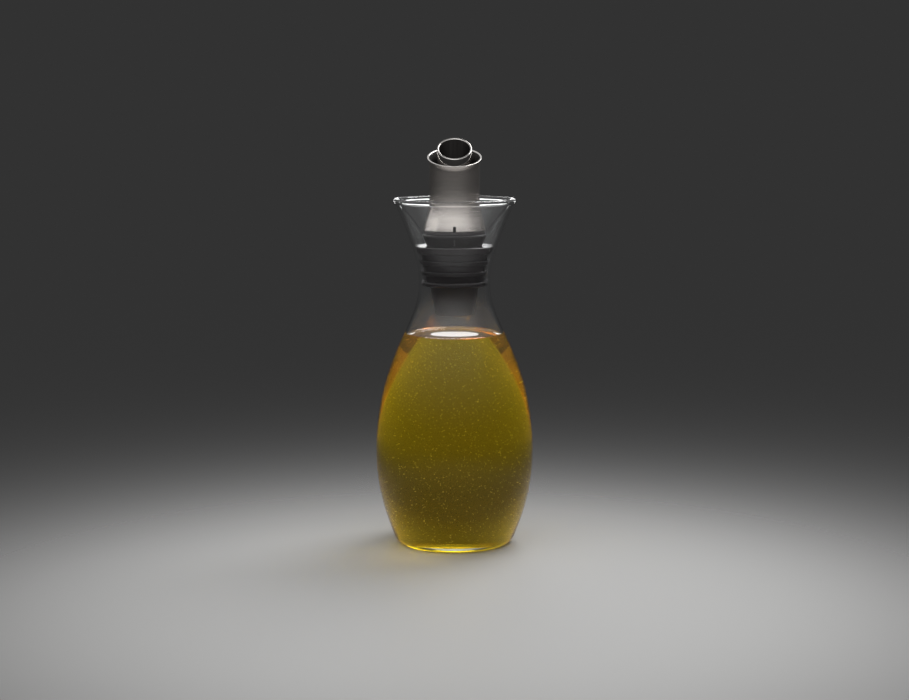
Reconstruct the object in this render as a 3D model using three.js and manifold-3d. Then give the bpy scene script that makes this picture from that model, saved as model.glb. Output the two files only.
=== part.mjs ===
// Oil dispenser: a waisted glass bottle, a ribbed stopper in its neck and a steel pouring head
// that twists on the stopper to choose between a drizzle, a closed and a pouring setting.
// Millimetres, +Z up. The origin is the centre of the foot, and the pointer notch faces -Y.

import * as THREE from 'three';
import { mergeVertices } from 'three/addons/utils/BufferGeometryUtils.js';
import Module from 'manifold-3d';

// Bottle, outside of the glass
const FOOT_R = 22.7; // outer edge of the flat ring that stands on the table
const FOOT_RING_W = 6.5; // width of that ring
const PUSH_UP_H = 0.6; // hollow under the base, inside the ring
const PUSH_UP_RUN = 3; // slope from the ring up to the hollow
const HEEL_REACH = 4.8; // how far the rounded heel reaches past the foot
const HEEL_H = 3.8; // height of the rounded heel
const HEEL_SLOPE = 0.38; // outward lean of the side where the heel ends
const BELLY_R = 35.3; // widest place
const BELLY_H = 41; // foot to widest place
const NECK_R = 16; // narrowest place
const SHOULDER_H = 75; // widest place to narrowest place
const RIM_R = 27.3; // outer edge of the rim's bead
const FLARE_H = 39.2; // narrowest place to the top of the rim
const FLARE_SLOPE = 0.42; // outward lean of the mouth under the bead
const BEAD_R = 1.35; // section of the rounded rim
const BEAD_OVERHANG = 1; // bead past the outside of the mouth

// Bottle, fullness of each stretch of outline: reach of its curve as a share of its height
const HEEL_UP = 0.19;
const BELLY_DOWN = 0.47;
const BELLY_UP = 0.56;
const NECK_DOWN = 0.23;
const NECK_UP = 0.22;
const MOUTH_DOWN = 0.69;

// Bottle, glass thickness
const BODY_WALL = 2;
const NECK_WALL = 1.1;
const MOUTH_WALL = 1.15;
const BASE_T = 2.2;

// Stopper
const STOPPER_LIFT = 0.5; // underside above the narrowest place of the neck
const STOPPER_H = 17.9;
const FLANGE_T = 3.4;
const RIB_COUNT = 3;
const RIB_T = 2.2;
const RIB_DEPTH = 1.2;
const RIB_EDGE = 1; // rounding of the ribs and of the flange's underside
const FLANGE_EDGE = 0.3; // rounding of the flange's top

// Valve body, the rigid core of the stopper
const NOSE_L = 13.3;
const NOSE_TIP_R = 8.4;
const NOSE_SHOULDER = 1.5; // nose past the core, holds the stopper from below
const NOSE_WALL = 1.5;
const CORE_WALL = 1.2;
const CUP_SHOULDER = 1.9; // cup past the core, holds the stopper from above
const CUP_WALL = 1.6;
const CUP_FLANGE_T = 1; // plate of the cup on top of the stopper
const VALVE_FLOOR_T = 2; // ported floor
const BOSS_R = 2.6;
const BOSS_H = 6;
const RIM_DROP = 0.2; // cup rim below the top of the collar

// Ports, and the tube that lets air in
const WINDOW_R = 2.1; // flow window of the rotor, and the pouring port under it
const WINDOW_INSET = 0.1; // window inside the wall of the spout
const DRIZZLE_R = 0.9;
const AIR_R = 0.9;
const DRAIN_R = 0.7;
const BREATHER_R = 1.5;
const BREATHER_L = 17;
const BREATHER_FIT = 0.1;
const BREATHER_INSET = 0.5; // breather inside the wall of the core
const GASKET_T = 0.8;

// Collar and glide ring
const COLLAR_H = 5.7;
const COLLAR_TUCK = 1.55; // foot of the collar inside the edge of the sleeve
const COLLAR_SWELL = 0.1; // widest place of the collar past the edge of the sleeve
const COLLAR_WALL = 0.7; // at its foot
const COLLAR_BAND_H = 0.5; // straight band on top
const COLLAR_BAND_TUCK = 0.3; // that band inside the edge of the sleeve
const COLLAR_STEP_H = 0.3; // step below that band
const COLLAR_CREST_H = 0.7; // widest stretch below the step
const MARK_W = 0.7;
const MARK_DEPTH = 0.35;
const MARK_L = 3;
const MARK_PITCH = 1.6; // between the two lines of the pouring mark
const GLIDE_T = 1;
const GLIDE_W = 1;
const GLIDE_TUCK = 0.25; // ring inside the edge of the sleeve

// Steel spout and sleeve, lengths on the axis
const SPOUT_R = 7.65;
const SPOUT_WALL = 0.7;
const SPOUT_L = 28.15;
const SPOUT_SLANT = 0.59; // rise of the cut per millimetre towards +Y
const DRIP_GAP = 2.7; // spout to sleeve at the waist
const SLEEVE_WALL = 0.8;
const SKIRT_FLARE = 2.7; // skirt past the waist
const SKIRT_H = 16;
const SKIRT_LEAN = 0.3; // share of the skirt that keeps the slope of its edge
const TUBE_H = 12.1; // straight stretch above the skirt
const LIP_H = 4;
const LIP_FLARE = 1;
const LIP_SLANT = 0.32; // rise of the lip per millimetre towards +Y
const NOTCH_W = 1.3;
const NOTCH_H = 2.4;

// Rotor, the plastic core of the head
const DRIP_FLOOR_LIFT = 5.7; // floor of the drip cup above the edge of the sleeve
const DRIP_FLOOR_T = 2;
const SOCKET_H = 4;
const SOCKET_WALL = 1.5;
const O_RING_SECTION_R = 0.6;
const O_RING_LIFT = 1.05; // middle of the ring above the underside of the hub
const KEY_FIT = 0.1; // key to each side of the notch
const KEY_RECESS = 0.7; // key behind the outer face of the sleeve
const STOP_DEPTH = 1.5; // channel in the cup's rim in which the key's foot travels
const TWIST_DEG = 90;

// Pivot screw
const SCREW_R = 1.3;
const SCREW_HEAD_R = 2.4;
const SCREW_HEAD_H = 1.8;
const SCREW_ENGAGED = 5; // length in the boss
const SCREW_SLOT_W = 0.8;
const SCREW_SLOT_DEPTH = 0.8;
const WASHER_T = 0.5;
const WASHER_R = 2.5;

// Clearances
const STOPPER_FIT = 0.15; // stopper to glass
const SEAT_GAP = 0.3; // pieces that sit in or on each other
const HUB_FIT = 0.2; // hub to cup, radially
const RUN_GAP = 0.1; // hub to gasket
const GLIDE_GAP = 0.2; // sleeve to glide ring
const PIVOT_FIT = 0.12; // screw to the holes it passes through
const SEAL_GAP = 0.12; // O-ring to cup

// Facets
const BOTTLE_SIDES = 44;
const FITTING_SIDES = 36;
const SMALL_SIDES = 16;
const OUTLINE_STEPS = [3, 5, 8, 6]; // heel, side, shoulder, mouth
const BEAD_STEPS = 6;
const SLEEVE_STEPS = 6;
const LIP_STEPS = 3;
const OVERCUT = 1; // how far a cutting shape reaches past the face it opens

// Heights in the frame of the whole object
const neckZ = BELLY_H + SHOULDER_H;
const rimTop = neckZ + FLARE_H;
const stopperZ = neckZ + STOPPER_LIFT;

// Radii from the spout outwards, and from the collar back in to the core
const spoutBore = SPOUT_R - SPOUT_WALL;
const waistR = SPOUT_R + DRIP_GAP + SLEEVE_WALL;
const skirtR = waistR + SKIRT_FLARE;
const collarFootR = skirtR - COLLAR_TUCK;
const collarBore = collarFootR - COLLAR_WALL;
const cupR = collarBore - SEAT_GAP;
const cupBore = cupR - CUP_WALL;
const hubR = cupBore - HUB_FIT;
const coreR = cupR - CUP_SHOULDER;
const coreBore = coreR - CORE_WALL;
const socketBore = SPOUT_R + SEAT_GAP;
const windowOffset = spoutBore - WINDOW_R - WINDOW_INSET;
const breatherOffset = coreBore - BREATHER_R - BREATHER_INSET;
const oRingMiddleR = cupBore - SEAL_GAP - O_RING_SECTION_R;
const pivotBore = SCREW_R + PIVOT_FIT;

// Heights above the underside of the stopper, then above the edge of the sleeve
const valveFloorTop = STOPPER_H + CUP_FLANGE_T;
const collarTop = STOPPER_H + COLLAR_H;
const cupTop = collarTop - RIM_DROP;
const headLift = collarTop + GLIDE_T + GLIDE_GAP;
const hubBottom = valveFloorTop + GASKET_T + RUN_GAP - headLift;
const dripFloorTop = DRIP_FLOOR_LIFT + DRIP_FLOOR_T;

const wasm = await Module();
wasm.setup();

// A geometry with positions alone, its shared corners merged and its flat triangles dropped
function closedGeometry(geometry) {
  const bare = geometry.clone();
  bare.deleteAttribute('normal');
  bare.deleteAttribute('uv');
  const merged = mergeVertices(bare);
  const corners = merged.index.array;
  const kept = [];
  for (let i = 0; i < corners.length; i += 3) {
    const [a, b, c] = corners.slice(i, i + 3);
    if (a !== b && b !== c && c !== a) kept.push(a, b, c);
  }
  merged.setIndex(kept);
  merged.computeVertexNormals();
  return merged;
}

function solid(geometry) {
  const closed = closedGeometry(geometry);
  return new wasm.Manifold(new wasm.Mesh({
    numProp: 3,
    vertProperties: new Float32Array(closed.attributes.position.array),
    triVerts: new Uint32Array(closed.index.array),
  }));
}

function geometryOf(manifold) {
  const mesh = manifold.getMesh();
  const geometry = new THREE.BufferGeometry();
  geometry.setAttribute('position', new THREE.BufferAttribute(mesh.vertProperties, 3));
  geometry.setIndex(new THREE.BufferAttribute(mesh.triVerts, 1));
  geometry.computeVertexNormals();
  return geometry;
}

// Turns a profile of [radius, height] pairs about Z. It runs up the outside and down the inside.
function turned(profile, sides) {
  const points = profile.map(([r, z]) => new THREE.Vector2(r, z));
  return closedGeometry(new THREE.LatheGeometry(points, sides).rotateX(Math.PI / 2));
}

// A turned ring between two radii and two heights
function ring(inner, outer, bottom, top, sides) {
  return turned([[inner, bottom], [outer, bottom], [outer, top], [inner, top], [inner, bottom]], sides);
}

// A round cutting shape along Z, its middle at x, y
function drill(radius, bottom, top, x = 0, y = 0) {
  const pin = new THREE.CylinderGeometry(radius, radius, top - bottom, SMALL_SIDES);
  return solid(pin.rotateX(Math.PI / 2).translate(x, y, (bottom + top) / 2));
}

// A block between two corners
function block(low, high) {
  const size = high.map((value, axis) => value - low[axis]);
  const middle = high.map((value, axis) => (value + low[axis]) / 2);
  return solid(new THREE.BoxGeometry(...size).translate(...middle));
}

// Leans the top of a turned shape: heights above `start` rise towards +Y, fully so at `end`
function slanted(geometry, start, end, slope) {
  const places = geometry.attributes.position;
  for (let i = 0; i < places.count; i += 1) {
    const share = Math.max(0, (places.getZ(i) - start) / (end - start));
    places.setZ(i, places.getZ(i) + share * slope * places.getY(i));
  }
  geometry.computeVertexNormals();
  return geometry;
}

// Radius of an outline of [radius, height] pairs at one height
function radiusAt(outline, z) {
  const above = outline.findIndex(([, height]) => height >= z);
  if (above < 0) return outline.at(-1)[0];
  if (above === 0) return outline[0][0];
  const [r0, z0] = outline[above - 1];
  const [r1, z1] = outline[above];
  return r0 + (r1 - r0) * (z - z0) / (z1 - z0);
}

function mesh(name, geometry, color, roughness, metalness) {
  const made = new THREE.Mesh(geometry, new THREE.MeshStandardMaterial({ color, roughness, metalness }));
  made.name = name;
  return made;
}

// One wall of the bottle from the foot to the mouth, through the heel, belly and neck
function bottleWall({ footR, floorZ, heelR, heelZ, bellyR, neckR, mouthR, mouthZ }) {
  const side = BELLY_H - heelZ;
  const flare = mouthZ - neckZ;
  const path = new THREE.Path();
  path.moveTo(footR, floorZ);
  path.quadraticCurveTo(heelR - HEEL_SLOPE * (heelZ - floorZ), floorZ, heelR, heelZ);
  path.bezierCurveTo(
    heelR + HEEL_SLOPE * HEEL_UP * side, heelZ + HEEL_UP * side,
    bellyR, BELLY_H - BELLY_DOWN * side,
    bellyR, BELLY_H,
  );
  path.bezierCurveTo(
    bellyR, BELLY_H + BELLY_UP * SHOULDER_H,
    neckR, neckZ - NECK_DOWN * SHOULDER_H,
    neckR, neckZ,
  );
  path.bezierCurveTo(
    neckR, neckZ + NECK_UP * flare,
    mouthR - FLARE_SLOPE * MOUTH_DOWN * flare, mouthZ - MOUTH_DOWN * flare,
    mouthR, mouthZ,
  );
  const stretches = path.curves.map((curve, i) => curve.getPoints(OUTLINE_STEPS[i]).slice(1));
  return [[footR, floorZ], ...stretches.flat().map(({ x, y }) => [x, y])];
}

// Bottle: both walls, joined over the bead of the rim and closed across the base
const beadMiddleR = RIM_R - BEAD_R;
const beadMiddleZ = rimTop - BEAD_R;
const beadStart = -Math.PI / 4;
const beadEnd = Math.PI * 7 / 6;
const heelR = FOOT_R + HEEL_REACH;
const insideFloor = PUSH_UP_H + BASE_T;
const outerWall = bottleWall({
  footR: FOOT_R,
  floorZ: 0,
  heelR,
  heelZ: HEEL_H,
  bellyR: BELLY_R,
  neckR: NECK_R,
  mouthR: RIM_R - BEAD_OVERHANG,
  mouthZ: beadMiddleZ + BEAD_R * Math.sin(beadStart),
});
const innerWall = bottleWall({
  footR: FOOT_R - BODY_WALL,
  floorZ: insideFloor,
  heelR: heelR + HEEL_SLOPE * insideFloor - BODY_WALL,
  heelZ: HEEL_H + insideFloor,
  bellyR: BELLY_R - BODY_WALL,
  neckR: NECK_R - NECK_WALL,
  mouthR: RIM_R - BEAD_OVERHANG - MOUTH_WALL,
  mouthZ: beadMiddleZ + BEAD_R * Math.sin(beadEnd),
});

function glassBottle() {
  const bead = new THREE.Path().absarc(beadMiddleR, beadMiddleZ, BEAD_R, beadStart, beadEnd, false);
  const ringInner = FOOT_R - FOOT_RING_W;
  return turned([
    [0, PUSH_UP_H],
    [ringInner - PUSH_UP_RUN, PUSH_UP_H],
    [ringInner, 0],
    ...outerWall,
    ...bead.curves[0].getPoints(BEAD_STEPS).map(({ x, y }) => [x, y]),
    ...innerWall.toReversed(),
    [0, insideFloor],
  ], BOTTLE_SIDES);
}

// Stopper: ribs and flange follow the glass, so that it slides straight up out of the neck
function stopperR(z) {
  return radiusAt(innerWall, stopperZ + z) - STOPPER_FIT;
}

function siliconeStopper() {
  const pitch = (STOPPER_H - FLANGE_T) / RIB_COUNT;
  const ribs = Array.from({ length: RIB_COUNT }, (_, i) => {
    const low = i * pitch;
    const high = low + RIB_T;
    return [
      [stopperR(low) - RIB_DEPTH, low],
      [stopperR(low + RIB_EDGE), low + RIB_EDGE],
      [stopperR(high - RIB_EDGE), high - RIB_EDGE],
      [stopperR(high) - RIB_DEPTH, high],
    ];
  });
  const flangeZ = STOPPER_H - FLANGE_T;
  const bore = coreR + SEAT_GAP;
  return turned([
    [bore, 0],
    ...ribs.flat(),
    [stopperR(flangeZ) - RIB_DEPTH, flangeZ],
    [stopperR(flangeZ + RIB_EDGE), flangeZ + RIB_EDGE],
    [stopperR(STOPPER_H - FLANGE_EDGE), STOPPER_H - FLANGE_EDGE],
    [stopperR(STOPPER_H) - FLANGE_EDGE, STOPPER_H],
    [bore, STOPPER_H],
    [bore, 0],
  ], FITTING_SIDES);
}

// Places of the ports about the axis: oil leaves at the high side of the spout, air enters opposite
const towardsY = new THREE.Vector2(0, 1);
const drizzlePort = towardsY.clone().multiplyScalar(windowOffset);
const pourPort = drizzlePort.clone().rotateAround(new THREE.Vector2(), THREE.MathUtils.degToRad(TWIST_DEG));
const breatherPort = towardsY.clone().multiplyScalar(-breatherOffset);
const airPort = breatherPort.clone().rotateAround(new THREE.Vector2(), THREE.MathUtils.degToRad(TWIST_DEG));

function valveBody() {
  const floorBottom = valveFloorTop - VALVE_FLOOR_T;
  const core = solid(turned([
    [0, floorBottom - BOSS_H],
    [BOSS_R, floorBottom - BOSS_H],
    [BOSS_R, floorBottom],
    [coreBore, floorBottom],
    [coreBore, 0],
    [NOSE_TIP_R - NOSE_WALL, -NOSE_L],
    [NOSE_TIP_R, -NOSE_L],
    [coreR + NOSE_SHOULDER, 0],
    [coreR, 0],
    [coreR, STOPPER_H],
    [cupR, STOPPER_H],
    [cupR, cupTop],
    [cupBore, cupTop],
    [cupBore, valveFloorTop],
    [0, valveFloorTop],
  ], FITTING_SIDES));
  const low = floorBottom - OVERCUT / 2;
  const high = valveFloorTop + OVERCUT / 2;
  return geometryOf(core
    .subtract(drill(pivotBore, low - BOSS_H, high))
    .subtract(drill(DRIZZLE_R, low, high, drizzlePort.x, drizzlePort.y))
    .subtract(drill(WINDOW_R, low, high, pourPort.x, pourPort.y))
    .subtract(drill(BREATHER_R + BREATHER_FIT, low, high, breatherPort.x, breatherPort.y))
    .subtract(drill(AIR_R, low, high, airPort.x, airPort.y))
    .subtract(stopChannel()));
}

// Channel in the cup's rim: the key's foot meets its ends at the two settings
function stopChannel() {
  const halfKey = NOTCH_W / 2 - KEY_FIT + SEAT_GAP;
  const margin = Math.asin(halfKey / cupBore);
  const start = -Math.PI / 2 - margin;
  const end = -Math.PI / 2 + THREE.MathUtils.degToRad(TWIST_DEG) + margin;
  const sector = new THREE.Shape();
  sector.absarc(0, 0, cupR + OVERCUT, start, end, false);
  sector.absarc(0, 0, cupBore - OVERCUT, end, start, true);
  const depth = STOP_DEPTH + OVERCUT;
  const cut = new THREE.ExtrudeGeometry(sector, { depth, bevelEnabled: false, curveSegments: SMALL_SIDES });
  return solid(cut.translate(0, 0, cupTop - STOP_DEPTH));
}

function valveGasket() {
  const low = valveFloorTop - OVERCUT;
  const high = valveFloorTop + GASKET_T + OVERCUT;
  const disc = ring(pivotBore + SEAT_GAP, hubR, valveFloorTop, valveFloorTop + GASKET_T, FITTING_SIDES);
  return geometryOf(solid(disc)
    .subtract(drill(DRIZZLE_R, low, high, drizzlePort.x, drizzlePort.y))
    .subtract(drill(WINDOW_R, low, high, pourPort.x, pourPort.y))
    .subtract(drill(AIR_R, low, high, breatherPort.x, breatherPort.y))
    .subtract(drill(AIR_R, low, high, airPort.x, airPort.y)));
}

function breatherTube() {
  const tube = ring(AIR_R, BREATHER_R, valveFloorTop - BREATHER_L, valveFloorTop, SMALL_SIDES);
  return tube.translate(breatherPort.x, breatherPort.y, 0);
}

// A line engraved square into the collar's cone, at an angle about the axis
function collarMark(angle, aside) {
  const coneH = COLLAR_H - COLLAR_BAND_H - COLLAR_STEP_H - COLLAR_CREST_H;
  const lean = Math.atan2(COLLAR_TUCK + COLLAR_SWELL, coneH);
  const middleR = (collarFootR + skirtR + COLLAR_SWELL) / 2;
  const line = new THREE.BoxGeometry(MARK_W, 2 * MARK_DEPTH, MARK_L);
  line.rotateX(lean).translate(aside, -middleR, STOPPER_H + coneH / 2);
  return solid(line.rotateZ(angle));
}

function selectorCollar() {
  const crestR = skirtR + COLLAR_SWELL;
  const bandR = skirtR - COLLAR_BAND_TUCK;
  const bandZ = collarTop - COLLAR_BAND_H;
  const stepZ = bandZ - COLLAR_STEP_H;
  const body = solid(turned([
    [collarBore, STOPPER_H],
    [collarFootR, STOPPER_H],
    [crestR, stepZ - COLLAR_CREST_H],
    [crestR, stepZ],
    [bandR, bandZ],
    [bandR, collarTop],
    [collarBore, collarTop],
    [collarBore, STOPPER_H],
  ], FITTING_SIDES));
  const pouring = THREE.MathUtils.degToRad(TWIST_DEG);
  return geometryOf(body
    .subtract(collarMark(0, 0))
    .subtract(collarMark(pouring, -MARK_PITCH / 2))
    .subtract(collarMark(pouring, MARK_PITCH / 2)));
}

function glideRing() {
  const outer = skirtR - GLIDE_TUCK;
  return ring(outer - GLIDE_W, outer, collarTop, collarTop + GLIDE_T, FITTING_SIDES);
}

function pivotScrew() {
  const washerTop = headLift + dripFloorTop + WASHER_T;
  const tip = valveFloorTop - VALVE_FLOOR_T - SCREW_ENGAGED;
  const headTop = washerTop + SCREW_HEAD_H;
  const body = solid(turned([
    [0, tip],
    [SCREW_R, tip],
    [SCREW_R, washerTop],
    [SCREW_HEAD_R, washerTop],
    [SCREW_HEAD_R, headTop],
    [0, headTop],
  ], SMALL_SIDES));
  const reach = SCREW_HEAD_R + OVERCUT;
  const slot = block(
    [-reach, -SCREW_SLOT_W / 2, headTop - SCREW_SLOT_DEPTH],
    [reach, SCREW_SLOT_W / 2, headTop + OVERCUT],
  );
  return geometryOf(body.subtract(slot));
}

function pivotWasher() {
  const seat = headLift + dripFloorTop;
  return ring(pivotBore, WASHER_R, seat, seat + WASHER_T, SMALL_SIDES);
}

// Sleeve: outside of the skirt and tube as one curve, then the flared lip
const tubeZ = SKIRT_H + TUBE_H;
const lipZ = tubeZ + LIP_H;
const skirtCurve = new THREE.CubicBezierCurve(
  new THREE.Vector2(skirtR, 0),
  new THREE.Vector2(skirtR - SKIRT_LEAN * SKIRT_FLARE, SKIRT_LEAN * SKIRT_H),
  new THREE.Vector2(waistR, SKIRT_H / 2),
  new THREE.Vector2(waistR, SKIRT_H),
);
const lipCurve = new THREE.QuadraticBezierCurve(
  new THREE.Vector2(waistR, tubeZ),
  new THREE.Vector2(waistR, tubeZ + LIP_H / 2),
  new THREE.Vector2(waistR + LIP_FLARE, lipZ),
);
const sleeveOutside = [
  ...skirtCurve.getPoints(SLEEVE_STEPS),
  ...lipCurve.getPoints(LIP_STEPS),
].map(({ x, y }) => [x, y]);

function pourerSleeve() {
  const inside = sleeveOutside.map(([r, z]) => [r - SLEEVE_WALL, z]);
  const shell = turned([...sleeveOutside, ...inside.toReversed(), sleeveOutside[0]], FITTING_SIDES);
  const notch = block(
    [-NOTCH_W / 2, -skirtR - OVERCUT, -OVERCUT],
    [NOTCH_W / 2, -waistR + SLEEVE_WALL, NOTCH_H],
  );
  return geometryOf(solid(slanted(shell, SKIRT_H, lipZ, LIP_SLANT)).subtract(notch));
}

function spoutTube() {
  const top = dripFloorTop + SPOUT_L;
  const tube = ring(spoutBore, SPOUT_R, dripFloorTop, top, FITTING_SIDES);
  return slanted(tube, dripFloorTop, top, SPOUT_SLANT);
}

function selectorRotor() {
  const discR = radiusAt(sleeveOutside, dripFloorTop) - SLEEVE_WALL - SEAT_GAP;
  const ringZ = hubBottom + O_RING_LIFT;
  const grooveHalf = O_RING_SECTION_R + RUN_GAP;
  const grooveR = oRingMiddleR - O_RING_SECTION_R - SEAL_GAP;
  const body = solid(turned([
    [pivotBore, hubBottom],
    [hubR, hubBottom],
    [hubR, ringZ - grooveHalf],
    [grooveR, ringZ - grooveHalf],
    [grooveR, ringZ + grooveHalf],
    [hubR, ringZ + grooveHalf],
    [hubR, DRIP_FLOOR_LIFT],
    [discR, DRIP_FLOOR_LIFT],
    [discR, dripFloorTop],
    [socketBore + SOCKET_WALL, dripFloorTop],
    [socketBore + SOCKET_WALL, dripFloorTop + SOCKET_H],
    [socketBore, dripFloorTop + SOCKET_H],
    [socketBore, dripFloorTop],
    [pivotBore, dripFloorTop],
    [pivotBore, hubBottom],
  ], FITTING_SIDES));
  const window = drill(WINDOW_R, hubBottom - OVERCUT, dripFloorTop + OVERCUT, drizzlePort.x, drizzlePort.y);
  return geometryOf(body.add(selectorKey()).subtract(window).subtract(drain()).subtract(drainNotch()));
}

// Key: an arm from the hub into the sleeve's notch, with a foot that runs in the stop channel
function selectorKey() {
  const half = NOTCH_W / 2 - KEY_FIT;
  const armLow = SEAT_GAP;
  const armHigh = NOTCH_H - SEAT_GAP;
  const footLow = cupTop - STOP_DEPTH + SEAT_GAP - headLift;
  const arm = block([-half, KEY_RECESS - skirtR, armLow], [half, -hubR / 2, armHigh]);
  const foot = block([-half, HUB_FIT - cupR, footLow], [half, -cupBore - HUB_FIT, armHigh]);
  return arm.add(foot);
}

// Drips run from beside the spout through the hub to the breather
const drainTopR = socketBore + DRAIN_R;

function drain() {
  const low = new THREE.Vector3(0, breatherPort.y, hubBottom);
  const high = new THREE.Vector3(0, -drainTopR, dripFloorTop);
  const along = high.clone().sub(low);
  const lean = Math.atan2(-along.y, along.z);
  const pin = new THREE.CylinderGeometry(DRAIN_R, DRAIN_R, along.length() + 2 * OVERCUT, SMALL_SIDES);
  const middle = low.clone().add(high).divideScalar(2);
  return solid(pin.rotateX(Math.PI / 2 + lean).translate(...middle));
}

function drainNotch() {
  const half = DRAIN_R + SEAT_GAP;
  return block(
    [-half, -socketBore - SOCKET_WALL - OVERCUT, dripFloorTop],
    [half, -spoutBore, dripFloorTop + SOCKET_H + OVERCUT],
  );
}

function rotorORing() {
  const torus = new THREE.TorusGeometry(oRingMiddleR, O_RING_SECTION_R, SMALL_SIDES / 2, FITTING_SIDES);
  return closedGeometry(torus.translate(0, 0, hubBottom + O_RING_LIFT));
}

const STEEL = '#b8b2ac';
const PLASTIC = '#4a4748';

const bottle = new THREE.Group();
bottle.add(mesh('glass_bottle', glassBottle(), '#d6d9dc', 0.03, 0));

const stopper = new THREE.Group();
stopper.position.z = stopperZ;
stopper.add(
  mesh('silicone_stopper', siliconeStopper(), '#7d777a', 0.55, 0),
  mesh('valve_body', valveBody(), '#8a8486', 0.4, 0),
  mesh('valve_gasket', valveGasket(), '#b9b4b0', 0.6, 0),
  mesh('breather_tube', breatherTube(), STEEL, 0.3, 1),
  mesh('selector_collar', selectorCollar(), PLASTIC, 0.45, 0),
  mesh('glide_ring', glideRing(), '#8d888a', 0.4, 0),
  mesh('pivot_screw', pivotScrew(), STEEL, 0.3, 1),
  mesh('pivot_washer', pivotWasher(), STEEL, 0.3, 1),
);

const pourerHead = new THREE.Group();
pourerHead.position.z = stopperZ + headLift;
pourerHead.add(
  mesh('selector_rotor', selectorRotor(), PLASTIC, 0.45, 0),
  mesh('rotor_o_ring', rotorORing(), '#26262a', 0.6, 0),
  mesh('spout_tube', spoutTube(), STEEL, 0.32, 1),
  mesh('pourer_sleeve', pourerSleeve(), STEEL, 0.34, 1),
);

const oilDispenser = new THREE.Group();
oilDispenser.add(bottle, stopper, pourerHead);

export default oilDispenser;
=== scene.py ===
# Oil dispenser: a waisted glass bottle of oil, a ribbed stopper in its neck and a steel pouring head that
# twists on the stopper. Metres, +Z up, in the frame of the solids. The pointer notch faces -Y.
import math
import random

import bpy
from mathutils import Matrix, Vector
from mathutils.geometry import interpolate_bezier


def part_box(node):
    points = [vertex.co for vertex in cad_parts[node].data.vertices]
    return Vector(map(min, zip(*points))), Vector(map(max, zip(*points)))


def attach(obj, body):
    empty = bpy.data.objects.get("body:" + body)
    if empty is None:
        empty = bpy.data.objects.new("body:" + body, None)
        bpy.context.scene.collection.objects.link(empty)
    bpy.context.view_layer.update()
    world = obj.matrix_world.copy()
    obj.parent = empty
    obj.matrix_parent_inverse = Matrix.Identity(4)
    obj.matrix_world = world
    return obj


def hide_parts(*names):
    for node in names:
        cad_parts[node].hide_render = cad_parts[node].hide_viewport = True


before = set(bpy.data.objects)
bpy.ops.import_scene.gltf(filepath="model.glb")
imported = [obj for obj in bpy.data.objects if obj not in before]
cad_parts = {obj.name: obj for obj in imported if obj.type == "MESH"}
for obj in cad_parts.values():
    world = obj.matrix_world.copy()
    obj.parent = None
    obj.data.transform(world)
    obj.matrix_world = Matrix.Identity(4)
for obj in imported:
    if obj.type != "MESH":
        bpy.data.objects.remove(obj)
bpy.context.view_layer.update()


# Studio: a pale matt table top that fades into a plain grey room, which is brightest above and in front. The
# main soft box stands high at the back right, a weaker one hangs overhead, and two small strips behind shine
# along the stopper's flange and the oil's surface. The camera looks slightly down from just above the rim.
CAMERA_BACK = 0.822
CAMERA_UP = 0.2005
CAMERA_DIP = math.radians(7.84)
LENS_MM = 73.3
SENSOR_MM = 36
TABLE_R = 1.6
TABLE_SIDES = 96
TABLE_POOL_FORWARD = 0.11
TABLE_POOL_R = 0.205
TABLE_FADE = 4.6
TABLE_COLOUR = (0.36, 0.358, 0.355, 1)
TABLE_ROUGHNESS = 0.6
TABLE_SHEEN = 0.25
WHITE = (1, 1, 1, 1)
ROOM_LIGHT = 0.032
DOME_LEVELS = {0.53: 0, 0.59: 0.15, 0.65: 0.42, 0.72: 0.7, 0.8: 1.5, 0.88: 1.4, 0.94: 0.6, 1.0: 0.25}
DOME_FRONT = (-0.25, -0.97, 0)
DOME_TURN = (-0.5, 0.7)
DOME_BACK_SHARE, DOME_FRONT_SHARE = 0.5, 1.1
GLASS_BOUNCES = 48


class Wire:
    """A value in a shader. Sums and products with it add Math nodes."""

    def __init__(self, shader, socket):
        self.shader = shader
        self.socket = socket

    def reckon(self, operation, first, second):
        return self.shader.node("ShaderNodeMath", {"operation": operation}, {0: first, 1: second})

    def __add__(self, other):
        return self.reckon("ADD", self, other)

    def __sub__(self, other):
        return self.reckon("SUBTRACT", self, other)

    def __rsub__(self, other):
        return self.reckon("SUBTRACT", other, self)

    def __mul__(self, other):
        return self.reckon("MULTIPLY", self, other)

    __radd__ = __add__
    __rmul__ = __mul__


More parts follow.
